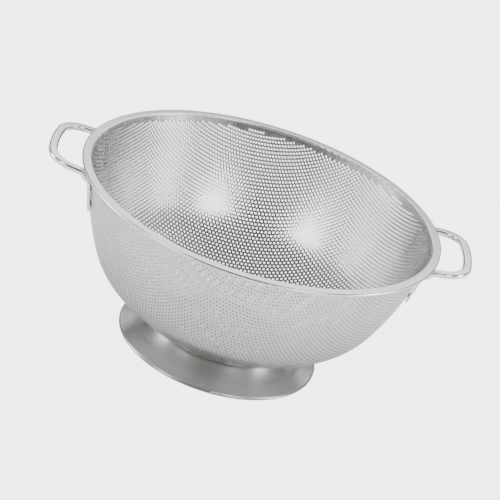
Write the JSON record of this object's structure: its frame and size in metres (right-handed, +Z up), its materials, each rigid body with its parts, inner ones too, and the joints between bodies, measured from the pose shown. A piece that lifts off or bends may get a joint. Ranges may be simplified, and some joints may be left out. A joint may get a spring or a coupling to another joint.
{
  "type": "pedestal colander",
  "caption": "Stainless steel perforated colander: round bowl with a flat folded rim, loop handles and a flared pedestal foot.",
  "frame": {"origin": "centre of the foot, on the surface that it stands on", "axes": "+Z up along the bowl's axis, +X through the right-hand loop handle"},
  "size_m": [0.3418, 0.29, 0.138],
  "materials": {
    "perforated_steel": "satin",
    "satin_steel": "satin",
    "polished_steel": "polished",
    "weld_steel": "rough"
  },
  "bodies": {
    "root": {"bowl": "perforated_steel", "rim_band": "satin_steel", "handle_left": "satin_steel", "handle_right": "satin_steel", "handle_welds": "weld_steel", "foot_ring": "polished_steel"}
  },
  "joints": []
}
